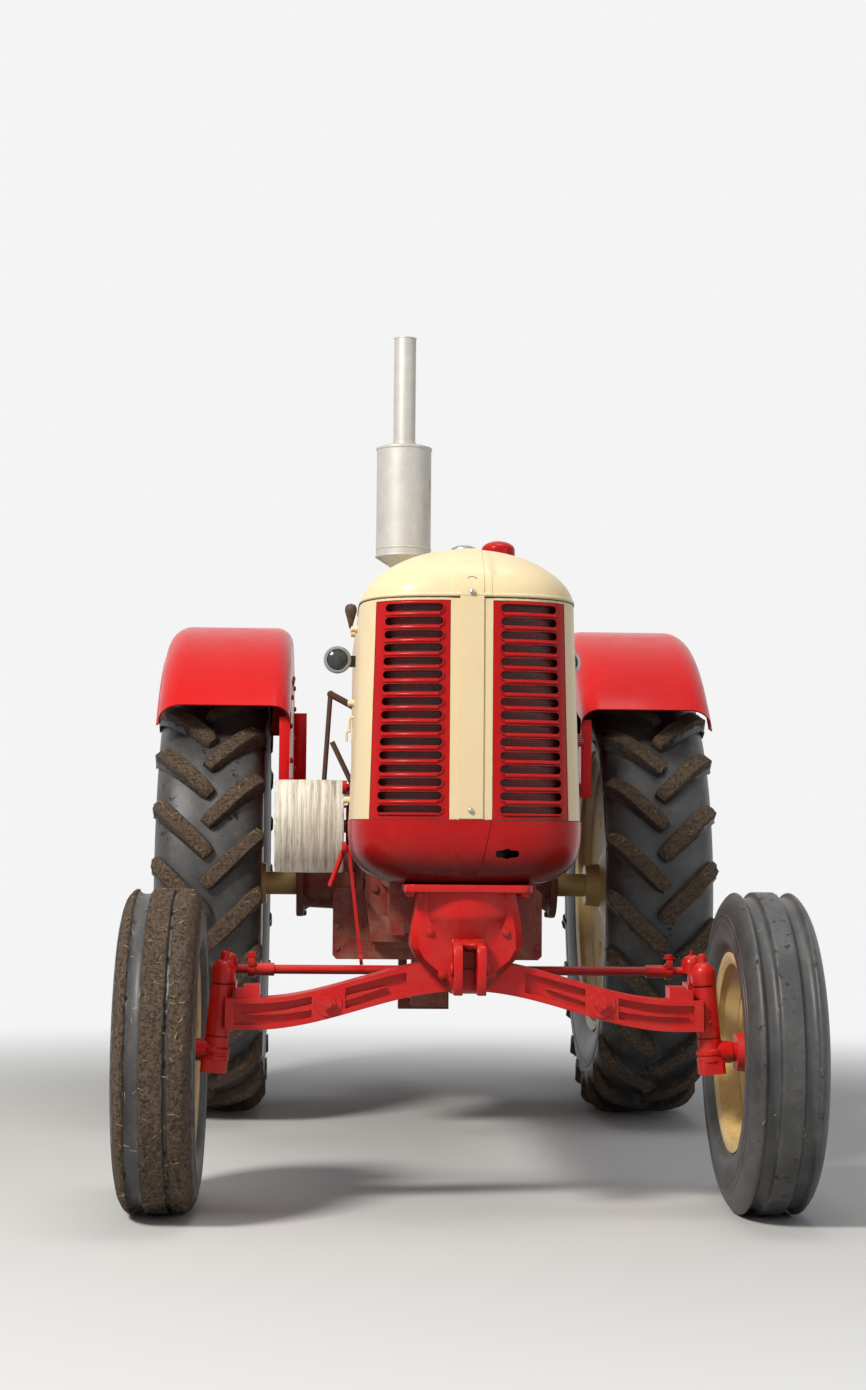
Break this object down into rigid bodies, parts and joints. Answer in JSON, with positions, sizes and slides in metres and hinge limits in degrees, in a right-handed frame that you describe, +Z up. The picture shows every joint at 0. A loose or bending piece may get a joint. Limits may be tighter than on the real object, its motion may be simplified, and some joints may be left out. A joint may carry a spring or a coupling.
{
  "type": "vintage wheeled field tractor",
  "caption": "Mid-century standard-tread farm tractor with a V-front nose, slotted grilles, arched steering axle, belt pulley, drawbar and turning wheels.",
  "frame": {"origin": "bottom centre of the bounds, on the ground under the middle of the tractor's length", "axes": "+Z up, the tractor faces -Y, +X is the tractor's own left side"},
  "size_m": [1.826, 3.505, 2.356],
  "materials": {
    "red_enamel": "gloss",
    "cream_enamel": "gloss",
    "tyre_rubber": "matte",
    "bare_steel": "satin",
    "aluminium_paint": "satin",
    "rusty_iron": "matte",
    "cast_alloy": "satin",
    "black_enamel": "gloss",
    "pulley_paint": "satin"
  },
  "bodies": {
    "chassis": {"front_bolster": "red_enamel", "front_hitch": "red_enamel", "side_frame": "red_enamel", "axle_pin": "bare_steel", "front_axle": "red_enamel", "nose_shell": "cream_enamel", "dome": "cream_enamel", "grille_left": "red_enamel", "grille_right": "red_enamel", "grille_screen": "black_enamel", "centre_strip": "cream_enamel", "chin_pan": "red_enamel", "radiator": "black_enamel", "radiator_cap": "bare_steel", "intake_cap": "red_enamel", "hood": "cream_enamel", "exhaust": "aluminium_paint", "engine_block": "red_enamel", "cylinder_head": "red_enamel", "oil_pan": "red_enamel", "manifold": "rusty_iron", "carburettor": "cast_alloy", "generator": "black_enamel", "oil_filter": "red_enamel", "clutch_housing": "red_enamel", "gearbox": "red_enamel", "rear_axle_housing": "red_enamel", "fender_left": "red_enamel", "fender_right": "red_enamel", "pulley_drive": "red_enamel", "pulley_linkage": "red_enamel", "drawbar": "red_enamel", "platform": "red_enamel", "seat": "red_enamel", "dash": "red_enamel", "steering_column": "red_enamel", "pedals": "red_enamel", "hand_levers": "rusty_iron", "lamp_left": "black_enamel", "lamp_right": "black_enamel"},
    "knuckle_left": {"knuckle_left": "red_enamel"},
    "knuckle_right": {"knuckle_right": "red_enamel"},
    "front_wheel_left": {"front_hub_left": "red_enamel", "front_rim_left": "cream_enamel", "front_tyre_left": "tyre_rubber"},
    "front_wheel_right": {"front_hub_right": "red_enamel", "front_rim_right": "cream_enamel", "front_tyre_right": "tyre_rubber"},
    "rear_wheel_left": {"rear_disc_left": "cream_enamel", "rear_rim_left": "cream_enamel", "rear_tyre_left": "tyre_rubber"},
    "rear_wheel_right": {"rear_disc_right": "cream_enamel", "rear_rim_right": "cream_enamel", "rear_tyre_right": "tyre_rubber"},
    "steering_arm": {"steering_arm": "red_enamel"},
    "tie_rod": {"tie_rod": "red_enamel"},
    "fan": {"fan": "red_enamel"},
    "belt_pulley": {"belt_pulley": "pulley_paint"},
    "pto_shaft": {"pto_shaft": "bare_steel"},
    "steering_wheel": {"steering_wheel": "black_enamel"}
  },
  "joints": [
    {"name": "steer_left", "type": "hinge", "parent": "chassis", "child": "knuckle_left", "pos_m": [0.628, -1.3475, 0.405], "axis": [-0.0872, 0, 0.9962], "range_deg": [-30, 30]},
    {"name": "steer_right", "type": "hinge", "parent": "chassis", "child": "knuckle_right", "pos_m": [-0.628, -1.3475, 0.405], "axis": [0.0872, 0, 0.9962], "range_deg": [-30, 30]},
    {"name": "front_wheel_left_spin", "type": "hinge", "parent": "knuckle_left", "child": "front_wheel_left", "pos_m": [0.762, -1.3475, 0.405], "axis": [1, 0, 0], "continuous": true},
    {"name": "front_wheel_right_spin", "type": "hinge", "parent": "knuckle_right", "child": "front_wheel_right", "pos_m": [-0.762, -1.3475, 0.405], "axis": [1, 0, 0], "continuous": true},
    {"name": "rear_wheel_left_spin", "type": "hinge", "parent": "chassis", "child": "rear_wheel_left", "pos_m": [0.734, 0.9025, 0.785], "axis": [1, 0, 0], "continuous": true},
    {"name": "rear_wheel_right_spin", "type": "hinge", "parent": "chassis", "child": "rear_wheel_right", "pos_m": [-0.734, 0.9025, 0.785], "axis": [1, 0, 0], "continuous": true},
    {"name": "steering_arm_swing", "type": "hinge", "parent": "chassis", "child": "steering_arm", "pos_m": [0, -1.3475, 0.69], "axis": [0, 0, 1], "range_deg": [-30, 30]},
    {"name": "tie_rod_pivot", "type": "hinge", "parent": "steering_arm", "child": "tie_rod", "pos_m": [0, -1.1875, 0.598], "axis": [0, 0, 1], "range_deg": [-30, 30]},
    {"name": "steering_wheel_turn", "type": "hinge", "parent": "chassis", "child": "steering_wheel", "pos_m": [0, 0.2525, 1.36], "axis": [0, 0.6157, 0.788], "range_deg": [-540, 540]},
    {"name": "fan_spin", "type": "hinge", "parent": "chassis", "child": "fan", "pos_m": [0, -1.1075, 1.18], "axis": [0, 1, 0], "continuous": true},
    {"name": "belt_pulley_spin", "type": "hinge", "parent": "chassis", "child": "belt_pulley", "pos_m": [-0.4, -0.1075, 0.978], "axis": [1, 0, 0], "continuous": true},
    {"name": "pto_spin", "type": "hinge", "parent": "chassis", "child": "pto_shaft", "pos_m": [0, 1.1025, 0.7], "axis": [0, 1, 0], "continuous": true}
  ],
  "couplings": [
    {"joint": "steer_right", "follows": "steer_left", "ratio": 1},
    {"joint": "steering_arm_swing", "follows": "steer_left", "ratio": 1},
    {"joint": "tie_rod_pivot", "follows": "steer_left", "ratio": -1},
    {"joint": "steering_wheel_turn", "follows": "steer_left", "ratio": 18}
  ]
}
